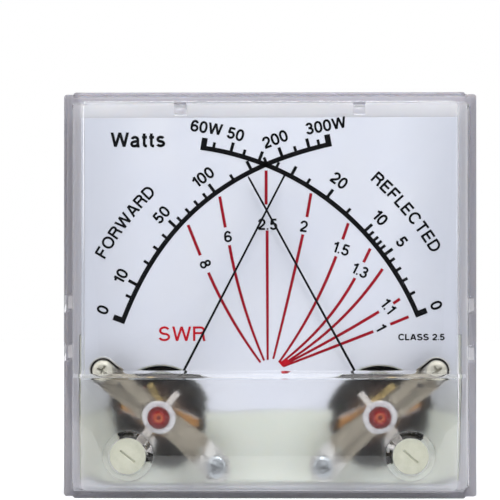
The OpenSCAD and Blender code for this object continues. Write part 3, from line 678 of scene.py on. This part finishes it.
def strip(bm, left, right, y0, y1, loop=False):
    """Closed solid between two matched edge lines (x, z from the face middle, mm)."""
    rows = [[bm.verts.new((p[0] * MM, y * MM, (p[1] + MID) * MM)) for p in row] for row in (left, right) for y in (y0, y1)]
    la, lb, ra, rb = rows
    n = len(left)
    for i in range(n if loop else n - 1):
        j = (i + 1) % n
        bm.faces.new((la[i], la[j], ra[j], ra[i]))
        bm.faces.new((lb[i], rb[i], rb[j], lb[j]))
        bm.faces.new((la[i], lb[i], lb[j], la[j]))
        bm.faces.new((ra[i], ra[j], rb[j], rb[i]))
    if not loop:
        for i in (0, n - 1):
            bm.faces.new((la[i], ra[i], rb[i], lb[i]))


def text_width(body):
    return sum(0.28 if ch == " " else GLYPHS[ch][0] for ch in body) + GAP * (len(body) - 1)


def add_glyphs(bm, body, cx, cz, height, angle=0.0, width=None, weight=0.14, baseline=None, mid=0.5):
    """Lettering centred at (cx, cz), its capitals height mm tall, turned by angle degrees anticlockwise."""
    total = text_width(body)
    sy = height
    sx = width / total if width else sy
    ca, sa = math.cos(math.radians(angle)), math.sin(math.radians(angle))
    z0 = mid if baseline is None else baseline

    def place(p, x):
        px, pz = (p[0] + x - total / 2) * sx, (p[1] - z0) * sy
        return (cx + px * ca - pz * sa, cz + px * sa + pz * ca)

    x, k = 0.0, 0
    for ch in body:
        if ch == " ":
            x += 0.28 + GAP
            continue
        ink, strokes = GLYPHS[ch]
        for kind, pts in strokes:
            y0 = INK_Y0 - 0.0012 * (k % 5)
            k += 1
            if kind == STEMS:
                prism(bm, [place(p, x) for p in stem_points(*pts, weight)], y0, INK_Y1)
            elif kind == SLAB:
                prism(bm, [place(p, x) for p in pts], y0, INK_Y1)
            else:
                l, r = ribbon(pts, weight, kind == LOOP)
                strip(bm, [place(p, x) for p in l], [place(p, x) for p in r], y0, INK_Y1, kind == LOOP)
        x += ink + GAP
    return total * sx


def arc_text(bm, body, side, r, a0, a1, height, weight=0.14):
    """Single letters set along an arc, their feet towards the pivot, from angle a0 to a1."""
    ws = [GLYPHS[ch][0] * height for ch in body]
    span = math.radians(abs(a1 - a0)) * r
    scale = min(1.0, span / (sum(ws) + 0.11 * height * (len(body) - 1)))
    ws = [w * scale for w in ws]
    gap = (span - sum(ws)) / (len(body) - 1)
    s = 0.0
    for ch, w in zip(body, ws):
        deg = a0 + math.degrees((s + w / 2) / r)
        x, z = pol(side, r, deg)
        add_glyphs(bm, ch, x, z, height, -deg, width=w, weight=weight)
        s += w + gap


# ------------------------------------------------------------------ printing on the dial
def arc_shift(side, deg):
    """How far a scale arc runs from the nominal radius at an angle, mm."""
    t = deg / 60.0
    if side > 0:
        t = max(-1.17, min(-0.18, t))
        return (((13.755 * t + 37.2862) * t + 32.8837) * t + 11.0179) * t + 1.0397
    return ((0.3674 * t - 0.5553) * t + 0.7327) * t - 1.0638


def print_dial():
    # black scales: the left-hand arc is centred on the right pivot and the right-hand arc on the left pivot
    fwd_major = [-61.4, -46.95, -36.2, -27.4, -20.5, -14.7]
    fwd_minor = [-64.3, -56.4, -52.9, -49.9, -45.3, -42.9, -40.55, -38.24, -31.6, -24.0, -17.5, -12.6]
    ref_major = [14.8, 20.95, 28.35, 37.1, 47.6, 54.0]
    ref_minor = [11.1, 17.5, 24.85, 32.05, 42.26, 48.9, 50.3, 51.4, 52.55, 55.8, 58.1, 60.6, 63.75]
    for name, side, ends, major, minor in (("forward_scale", 1, (-69.4, -10.6), fwd_major, fwd_minor),
                                           ("reflected_scale", -1, (9.0, 68.1), ref_major, ref_minor)):
        bm = bmesh.new()
        n = 120
        outer, inner = [], []
        for i in range(n + 1):
            deg = ends[0] + (ends[1] - ends[0]) * i / n
            d = arc_shift(side, deg)
            outer.append(pol(side, 55.07 + d, deg))
            inner.append(pol(side, 54.13 + d, deg))
        strip(bm, outer, inner, INK_Y0, INK_Y1)
        for a in major:
            d = arc_shift(side, a)
            tick(bm, side, a, 54.9 + d, 56.8 + d, 0.62)
        for a in minor:
            d = arc_shift(side, a)
            tick(bm, side, a, 54.9 + d, 56.05 + d, 0.56)
        for a in ends:
            d = arc_shift(side, a)
            tick(bm, side, a, 54.13 + d, 56.6 + d, 1.14)
        finish_piece(name, bm, "case", "ink_black", smooth=False)
    num_h = 2.2
    bm = bmesh.new()
    for t, r, a in (("0", 58.3, -68.8), ("10", 57.9, -61.4), ("50", 58.5, -47.1), ("100", 58.6, -36.3),
                    ("200", 58.4, -20.6), ("300W", 58.3, -10.5)):
        x, z = pol(1, r, a)
        add_glyphs(bm, t, x, z, num_h, -a, weight=0.205)
    finish_piece("forward_numbers", bm, "case", "ink_black", smooth=False)
    bm = bmesh.new()
    for t, r, a in (("60W", 57.7, 9.0), ("50", 57.6, 14.8), ("20", 58.2, 37.0), ("10", 58.2, 47.7),
                    ("5", 58.5, 53.9), ("0", 58.3, 67.9)):
        x, z = pol(-1, r, a)
        add_glyphs(bm, t, x, z, num_h, -a, weight=0.205)
    finish_piece("reflected_numbers", bm, "case", "ink_black", smooth=False)
    bm = bmesh.new()
    add_glyphs(bm, "Watts", (-31.25 - 20.64) / 2, (29.2 + 32.1) / 2, 2.85, width=10.6, weight=0.195)
    arc_text(bm, "FORWARD", 1, 63.4, -60.0, -44.9, 2.35, weight=0.19)
    arc_text(bm, "REFLECTED", -1, 63.3, 41.5, 58.8, 2.35, weight=0.19)
    add_glyphs(bm, "CLASS 2.5", 29.6, -8.3, 1.2, width=9.0, weight=0.22)
    finish_piece("scale_titles", bm, "case", "ink_black", smooth=False)
    bm = bmesh.new()
    add_glyphs(bm, "SWR", (-21.9 - 12.7) / 2, (-9.1 - 6.2) / 2, 2.85, width=9.2, weight=0.15)
    finish_piece("swr_title", bm, "case", "ink_wedge", smooth=False)

    # the fan of ratio lines
    fan = [
        [(-16.1, 13.8), (-13.7, 7.8)], [(-12.1, 4.4), (-10.1, 0.1), (-1.9, -13.3)],
        [(-9.9, 19.4), (-8.8, 13.3)], [(-8.0, 9.8), (-5.6, -0.5), (-1.2, -12.9)],
        [(-0.8, 24.5), (-0.8, 17.8)], [(-0.6, 12.7), (-0.5, -12.8)],
        [(8.0, 20.0), (7.2, 15.3)], [(6.4, 11.9), (3.6, -0.3), (0.6, -12.6)],
        [(15.3, 14.1), (14.2, 10.9)], [(12.9, 7.6), (9.6, -0.1), (1.7, -13.3)],
        [(19.6, 9.1), (18.3, 6.4)], [(16.6, 3.3), (14.3, -0.5), (2.1, -13.4)],
        [(22.0, 5.1), (17.8, -0.5), (2.4, -13.7)],
        [(25.4, -0.8), (24.1, -1.7)], [(21.3, -3.3), (13.7, -7.8), (2.4, -13.9)],
        [(27.1, -4.3), (23.5, -5.8)], [(20.2, -7.2), (2.5, -14.1)],
    ]
    bm = bmesh.new()
    for k, line in enumerate(fan):
        pts = [Vector(p) for p in line]
        if len(pts) == 3:
            # a smooth curve through the three points, by chord length
            l1, l2 = (pts[1] - pts[0]).length, (pts[2] - pts[1]).length
            t1 = l1 / (l1 + l2)
            c = (pts[1] - pts[0] * (1 - t1) ** 2 - pts[2] * t1 ** 2) / (2 * t1 * (1 - t1))
            run = [pts[0] * (1 - t) ** 2 + c * 2 * t * (1 - t) + pts[2] * t * t for t in [i / 16 for i in range(17)]]
        else:
            run = [pts[0].lerp(pts[1], i / 4) for i in range(5)]
        l, r = ribbon([tuple(p) for p in run], 0.58)
        # the long lines thin out a little towards the foot
        if len(pts) == 3 or (pts[0] - pts[-1]).length > 12.0:
            for i, p in enumerate(run):
                f = 1.0 - 0.3 * (i / (len(run) - 1)) ** 2
                l[i] = tuple(p + (Vector(l[i]) - p) * f)
                r[i] = tuple(p + (Vector(r[i]) - p) * f)
        strip(bm, l, r, INK_Y0 - 0.0012 * (k % 5), INK_Y1)
    finish_piece("ratio_lines", bm, "case", "ink_red", smooth=False)
    # where the lines on the right run together they fill in
    bm = bmesh.new()
    prism(bm, [(1.7, -13.3), (2.4, -14.1), (4.0, -13.4), (3.3, -12.5)],
          INK_Y0 - 0.009, INK_Y1)
    finish_piece("ratio_fill", bm, "case", "ink_wedge", smooth=False)
    bm = bmesh.new()
    for t, x, z, a in (("8", -12.7, 6.1, -66.0), ("6", -8.3, 11.5, 6.0), ("2.5", -0.5, 13.9, 0.0), ("2", 6.6, 13.5, -8.0),
                       ("1.5", 13.9, 9.1, -18.0), ("1.3", 17.6, 4.8, -26.0), ("1.1", 23.1, -2.2, -52.0), ("1", 21.7, -6.4, -62.0)):
        add_glyphs(bm, t, x, z, 2.15, a, weight=0.185)
    finish_piece("ratio_numbers", bm, "case", "ink_black", smooth=False)


print_dial()

# ------------------------------------------------------------------ CAD nodes with better edges and materials
REFINE = [
    ("rear_case", "rear_case_moulding", "case_white", 0.2),
    ("dial_plate", "dial_plate_pressing", "dial_white", 0.08),
    ("movement_frame", "movement_frame_moulding", "case_plastic", 0.12),
    ("bridge_pillars", "bridge_pillars_turned", "brass", 0.12),
    ("bridge_spacers", "bridge_spacers_turned", "nickel", 0.1),
    ("bridge_screws", "bridge_screws_turned", "zinc_front", 0.06),
    ("contact_strips", "contact_strips_pressing", "brass", 0.05),
    ("rear_bridge_screws", "rear_bridge_screws_turned", "zinc", 0.06),
    ("terminal_washers", "terminal_washers_pressing", "zinc", 0.08),
    ("terminal_lugs", "terminal_lugs_pressing", "tinned", 0.07),
]
for s in ("left", "right"):
    REFINE += [
        (f"yoke_ring_{s}", f"yoke_ring_turned_{s}", "soft_iron", 0.2),
        (f"core_magnet_{s}", f"core_magnet_ground_{s}", "magnet", 0.25),
        (f"core_clamps_{s}", f"core_clamps_cast_{s}", "brass_painted_shade", 0.1),
        (f"front_bridge_{s}", f"front_bridge_pressing_{s}", "bridge_metal_front", 0.26),
        (f"rear_bridge_{s}", f"rear_bridge_pressing_{s}", "bridge_metal", 0.08),
        (f"front_jewel_screw_{s}", f"front_jewel_screw_turned_{s}", "red_lacquer", 0.12),
        (f"rear_jewel_screw_{s}", f"rear_jewel_screw_turned_{s}", "brass", 0.1),
        (f"jewel_nut_{s}", f"jewel_nut_turned_{s}", "insulator", 0.12),
        (f"spring_tag_{s}", f"spring_tag_pressing_{s}", "brass", 0.05),
        (f"zero_lever_{s}", f"zero_lever_pressing_{s}", "lever_metal", 0.06),
        (f"zero_screw_{s}", f"zero_screw_moulding_{s}", "screw_plastic", 0.18),
        (f"screw_clip_{s}", f"screw_clip_pressing_{s}", "spring_steel", 0.04),
        (f"coil_former_{s}", f"coil_former_pressing_{s}", "aluminium", 0.05),
        (f"needle_hub_{s}", f"needle_hub_pressing_{s}", "brass", 0.04),
        (f"balance_weights_{s}", f"balance_weights_turned_{s}", "nickel", 0.08),
    ]
for node, name, mat, bev in REFINE:
    refined(node, name, mat, bev)


def across(y, zf, tol=0.03):
    """Test for the long edge that runs across the cover at depth y and height zf."""
    def test(e):
        return all(abs(v.co.y / MM - y) < tol and abs(v.co.z / MM - MID - zf) < tol for v in e.verts)
    return test


refined("front_cover", "front_cover_moulding", "clear_cover", 0.2,
        wide=((across(-5.5, -15.3), 0.12, 4), (across(-6.5, -16.05), 0.16, 5), (across(-3.5, -14.7), 0.08, 3),
              (across(-4.0, -15.75), 0.1, 3), (across(-4.5, -16.4), 0.08, 3)))


def dress(node, mat):
    """A CAD node that keeps its own mesh and takes a finished material."""
    o = NODES[node]
    for s in o.material_slots:
        s.material = MATS[mat]


for s in ("left", "right"):
    dress(f"pivot_staffs_{s}", "spring_steel")
dress("pivot_jewels", "ruby")


# ------------------------------------------------------------------ windings, hairsprings, threads
def side_point(side, x, y, z):
    """From a movement's own space (left pivot at 0, mm) to the object's, mirrored for the right."""
    s = -1 if side == "left" else 1
    return Vector((s * HUB_X + (x if side == "left" else -x), y, MID + HUB_Z + z)) * MM


NEEDLE_A = {"left": 27.2, "right": 28.6}


def winding(side):
    """Enamelled wire in even turns on the former: one closed band whose faces carry each turn's round back."""
    t = math.radians(90 - NEEDLE_A[side])
    ex = Vector((math.sin(t), 0, -math.cos(t)))      # radial
    ez = Vector((math.cos(t), 0, math.sin(t)))       # along the needle: the band's width
    r0, r1, ya, yb, th, w = 6.92, 7.6, 2.4, 13.6, 0.58, 5.04
    turns = 24
    # profile over the thickness (0 = inside, 1 = outside) and width
    prof = [(0.0, -w / 2)]
    for i in range(turns):
        c = -w / 2 + (i + 0.5) * w / turns
        h = w / turns / 2
        for k in range(5):
            a = math.pi * (1 - k / 4)
            if k == 0 and i > 0:
                continue
            prof.append((1.0 - 0.10 * (1 - math.sin(a)) / 0.58 * 0.58, c + h * math.cos(a)))
    prof.append((0.0, w / 2))
    # rounded rectangular path: inner and outer loops are matched point by point
    cr_out, cr_in = 0.75, 0.12
    path = []
    n = 6
    for cx, cy, a0 in ((1, 1, 0), (-1, 1, 90), (-1, -1, 180), (1, -1, 270)):
        for k in range(n + 1):
            a = math.radians(a0 + 90 * k / n)
            o = (cx * (r1 - cr_out) + cr_out * math.cos(a), (ya + yb) / 2 + cy * ((yb - ya) / 2 - cr_out) + cr_out * math.sin(a))
            i = (cx * (r0 - cr_in) + cr_in * math.cos(a), (ya + yb) / 2 + cy * ((yb - ya) / 2 - th - cr_in) + cr_in * math.sin(a))
            path.append((i, o))
    bm = bmesh.new()
    rings = []
    for i, o in path:
        ring = []
        for f, zz in prof:
            px, py = i[0] + (o[0] - i[0]) * f, i[1] + (o[1] - i[1]) * f
            loc = ex * px + Vector((0, py, 0)) + ez * zz
            ring.append(bm.verts.new(side_point(side, loc.x, loc.y, loc.z)))
        rings.append(ring)
    for a, b in zip(rings, rings[1:] + rings[:1]):
        quad_strip(bm, a, b)
    o = finish_piece(f"wire_winding_{side}", bm, f"moving_coil_{side}", "copper", sharp=50.0)
    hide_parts(f"coil_winding_{side}")


def spring(side, which):
    """Flat hairspring ribbon, wound as one smooth spiral from its collet to its stud."""
    y0 = -0.2 if which == "front" else 13.85
    adj_a = 180 + math.degrees(math.atan2(-24 + 31.2, 27.4 - 21.5))
    out_dir = adj_a + 180 if which == "front" else 180 - 40.2
    base = math.radians(out_dir + 180)
    p0, pitch, turns, tk, h = 1.1, 0.5, 7, 0.12, 0.35
    pts = [(0.84, 0.0, 0.06)]
    line = []
    for k in range(3):
        line.append(Vector((0.86 + 0.24 * k / 3, 0.02, 0)))
    n = 34 * turns
    for i in range(n + 1):
        a = math.pi * turns * i / n
        r = p0 + pitch * a / math.pi
        line.append(Vector((r * math.cos(a), r * math.sin(a), 0)))
    for k in range(1, 4):
        line.append(Vector((-(p0 + pitch * turns) - (4.9 - p0 - pitch * turns) * k / 3, 0.0 - 0.02 * k, 0)))
    length = [0.0]
    for a, b in zip(line, line[1:]):
        length.append(length[-1] + (b - a).length)
    bm = bmesh.new()
    rings = []
    for i, p in enumerate(line):
        d = (line[min(i + 1, len(line) - 1)] - line[max(i - 1, 0)]).normalized()
        nv = Vector((-d.y, d.x, 0)) * (tk / 2)
        ring = []
        for sgn, yy in ((1, y0 + 0.02), (1, y0 + h - 0.02), (0.6, y0 + h), (-0.6, y0 + h), (-1, y0 + h - 0.02), (-1, y0 + 0.02), (-0.6, y0), (0.6, y0)):
            q = p + nv * sgn
            x = q.x * math.cos(base) - q.y * math.sin(base)
            z = q.x * math.sin(base) + q.y * math.cos(base)
            ring.append(bm.verts.new(side_point(side, x, yy, z)))
        rings.append(ring)
    for a, b in zip(rings, rings[1:]):
        quad_strip(bm, a, b)
    bm.faces.new(rings[0])
    bm.faces.new(rings[-1][::-1])
    o = finish_piece(f"spiral_{which}_{side}", bm, None, "bronze", sharp=50.0)
    hub = side_point(side, 0, y0, 0)
    end = side_point(side, 4.9 * math.cos(math.radians(out_dir)), y0, 4.9 * math.sin(math.radians(out_dir)))
    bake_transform(o, f"lever_{side}", f"moving_coil_{side}", start=end, end=hub)
    # the turns share the twist in proportion to their length from the stud
    total = length[-1]
    vals = [1.0 - length[i] / total for i in range(len(line)) for _ in range(8)]
    att = o.data.attributes["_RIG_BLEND"]
    if len(vals) == len(att.data):
        att.data.foreach_set("value", vals)
    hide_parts(f"{which}_hairspring_{side}")


def needle(side):
    """Aluminium strip, blackened: even in width almost to its tip, with its long edges rounded over."""
    node = f"needle_{side}"
    lo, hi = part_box(node)
    ya, yb = lo[1] / MM + 0.005, hi[1] / MM - 0.005
    t = math.radians(90 - NEEDLE_A[side])
    stations = [(0.92, 0.29), (5.0, 0.25), (20.0, 0.225), (36.0, 0.205), (53.3, 0.195), (53.62, 0.16), (53.84, 0.08)]
    bm = bmesh.new()
    rings = []
    for r, h in stations:
        ring = []
        c = min(0.07, h * 0.45)
        for v, y in ((-h, ya + c), (-h + c, ya), (h - c, ya), (h, ya + c), (h, yb - c), (h - c, yb), (-h + c, yb), (-h, yb - c)):
            x = r * math.cos(t) - v * math.sin(t)
            z = r * math.sin(t) + v * math.cos(t)
            ring.append(bm.verts.new(side_point(side, x, y, z)))
        rings.append(ring)
    for a, b in zip(rings, rings[1:]):
        quad_strip(bm, a, b)
    bm.faces.new(rings[0])
    bm.faces.new(rings[-1][::-1])
    o = finish_piece(f"needle_strip_{side}", bm, f"moving_coil_{side}", "needle_black", sharp=30.0)
    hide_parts(node)


for s in ("left", "right"):
    needle(s)
    winding(s)
    for w in ("front", "rear"):
        spring(s, w)


def studs():
    """Terminal studs with a hex head inside, a plain neck and a rolled thread on the free end."""
    bm = bmesh.new()
    fl, ct = 17.6, 19.6
    pitch, seg = 0.5, 28
    for zi in (0, 1):
        y_head = fl - 0.3 if zi == 0 else 15.6
        for sx in (-1, 1):
            cx, cz = sx * 24.0, MID - 4.0 + zi * 14.0

            def ring(y, r, k=seg, hexa=False):
                out = []
                for i in range(k):
                    a = 2 * math.pi * i / k
                    rr = r
                    if hexa:
                        aa = (a + math.pi / 6) % (math.pi / 3) - math.pi / 6
                        rr = r * math.cos(math.pi / 6) / math.cos(aa)
                    out.append(bm.verts.new(((cx + rr * math.cos(a)) * MM, y * MM, (cz + rr * math.sin(a)) * MM)))
                return out
            k = 30
            seq = [(y_head - 1.2, 1.9, True), (y_head - 1.1, 2.42, True), (y_head - 0.02, 2.42, True),
                   (y_head - 0.02, 1.3, False), (ct + 1.2, 1.3, False)]
            rings = [ring(y, r, k, h) for y, r, h in seq]
            # thread: each station's radius follows a helix
            y, step = ct + 1.3, pitch / 8
            end = ct + 8.8
            while y < end:
                row = []
                for i in range(k):
                    a = 2 * math.pi * i / k
                    ph = ((y / pitch) - i / k) % 1.0
                    tri = abs(ph - 0.5) * 2
                    env = min(1.0, (y - ct - 1.2) / 0.5, max(0.0, (end - y) / 0.45))
                    rmax = 1.5 if y < ct + 8.4 else 1.5 - (y - ct - 8.4)
                    rr = min(1.27 + 0.23 * min(1.0, tri * 1.25) * max(env, 0.0), rmax)
                    row.append(bm.verts.new(((cx + rr * math.cos(a)) * MM, y * MM, (cz + rr * math.sin(a)) * MM)))
                rings.append(row)
                y += step
            for a, b in zip(rings, rings[1:]):
                quad_strip(bm, a, b)
            bm.faces.new(rings[0])
            bm.faces.new(rings[-1][::-1])
    o = finish_piece("threaded_studs", bm, "case", "brass", sharp=28.0)
    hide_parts("terminal_studs")


def nuts():
    """Hex nuts with their corners chamfered on a cone and a countersunk, plain bore."""
    bm = bmesh.new()
    ct = 19.6
    y0, y1 = ct + 1.0, ct + 3.4
    ap, k = 3.17 * math.cos(math.pi / 6), 60
    for zi in (0, 1):
        for sx in (-1, 1):
            cx, cz = sx * 24.0, MID - 4.0 + zi * 14.0

            def row(y, r, hexa=False, cone=None):
                out = []
                for i in range(k):
                    a = 2 * math.pi * i / k
                    aa = (a + math.pi / 6) % (math.pi / 3) - math.pi / 6
                    rr = ap / math.cos(aa) if hexa else r
                    yy = y
                    if cone is not None:
                        drop = max(0.0, rr - (ap - 0.1)) * 0.62
                        yy = y + drop * cone
                    out.append(bm.verts.new(((cx + rr * math.cos(a)) * MM, yy * MM, (cz + rr * math.sin(a)) * MM)))
                return out
            rings = [row(y0 + 0.3, 1.5), row(y0, 1.75), row(y0, ap - 0.1), row(y0, 0, True, 1), row(y1, 0, True, -1),
                     row(y1, ap - 0.1), row(y1, 1.75), row(y1 - 0.3, 1.5)]
            for a, b in zip(rings, rings[1:] + rings[:1]):
                quad_strip(bm, a, b)
    o = finish_piece("chamfered_nuts", bm, "case", "brass", sharp=25.0)
    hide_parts("terminal_nuts")


studs()
nuts()

# ------------------------------------------------------------------ floor, world and light
bm = bmesh.new()
bmesh.ops.create_circle(bm, cap_ends=True, segments=128, radius=1.5)
me = bpy.data.meshes.new("floor")
bm.to_mesh(me)
bm.free()
floor = bpy.data.objects.new("floor", me)
floor.location = (0.0, 1.32, 0.0)
scene.collection.objects.link(floor)
fm = Mat("floor_paint")
fx, fy, fz = fm.xyz()
fn = fm.noise(0.02, 3.0)
fy = fm.math("ADD", fy, 1320.0)
far = fm.math("POWER", fm.math("ADD", fm.math("MULTIPLY", fx, fx), fm.math("MULTIPLY", fy, fy)), 0.5)
fm.set(Base_Color=fm.mix(fm.remap(fn, 0.3, 0.7, 0, 1), (0.86, 0.86, 0.86), (0.88, 0.88, 0.88)), Roughness=0.6)
fm.put(fm.p.inputs["Emission Strength"], fm.remap(far, 60.0, 900.0, 0.15, 0.6))
fm.p.inputs["Emission Color"].default_value = (1, 1, 1, 1)
me.materials.append(fm.m)

world = bpy.data.worlds.new("studio")
scene.world = world
world.use_nodes = True
wt = world.node_tree
wt.nodes.clear()
wo = wt.nodes.new("ShaderNodeOutputWorld")
bg_cam = wt.nodes.new("ShaderNodeBackground")
bg_cam.inputs[0].default_value = (1, 1, 1, 1)
bg_cam.inputs[1].default_value = 1.0
bg_env = wt.nodes.new("ShaderNodeBackground")
tc = wt.nodes.new("ShaderNodeTexCoord")
sx = wt.nodes.new("ShaderNodeSeparateXYZ")
wt.links.new(tc.outputs["Generated"], sx.inputs[0])
# dim behind the camera, bright above and behind the object
mr = wt.nodes.new("ShaderNodeMapRange")
mr.interpolation_type = "SMOOTHSTEP"
mr.inputs["From Min"].default_value = -0.86
mr.inputs["From Max"].default_value = -0.2
mr.inputs["To Min"].default_value = 0.025
mr.inputs["To Max"].default_value = 0.62
wt.links.new(sx.outputs[1], mr.inputs["Value"])
wt.links.new(mr.outputs["Result"], bg_env.inputs[1])
bg_env.inputs[0].default_value = (0.96, 0.98, 1.0, 1)
lp = wt.nodes.new("ShaderNodeLightPath")
mx = wt.nodes.new("ShaderNodeMixShader")
wt.links.new(lp.outputs["Is Camera Ray"], mx.inputs[0])
wt.links.new(bg_env.outputs[0], mx.inputs[1])
wt.links.new(bg_cam.outputs[0], mx.inputs[2])
wt.links.new(mx.outputs[0], wo.inputs[0])


def softbox(name, loc, target, size, power, colour=(1, 1, 1), size_y=None):
    d = bpy.data.lights.new(name, "AREA")
    d.shape = "RECTANGLE"
    d.size = size
    d.size_y = size_y or size
    d.energy = power
    d.color = colour
    o = bpy.data.objects.new(name, d)
    scene.collection.objects.link(o)
    o.location = loc
    o.rotation_euler = (Vector(target) - Vector(loc)).to_track_quat("-Z", "Y").to_euler()
    o.visible_camera = False
    return o


softbox("top_box", (0.0, -0.16, 0.85), (0, 0, 0.04), 0.8, 4.5)
softbox("key_box", (0.10, -0.56, 0.62), (0, 0, 0.04), 0.34, 2.6, size_y=0.2)
softbox("left_box", (-0.62, -0.45, 0.42), (0, 0, 0.04), 0.45, 2.2, (1.0, 0.99, 0.98))
softbox("right_box", (0.66, -0.42, 0.36), (0, 0, 0.04), 0.45, 1.8, (0.97, 0.98, 1.0))
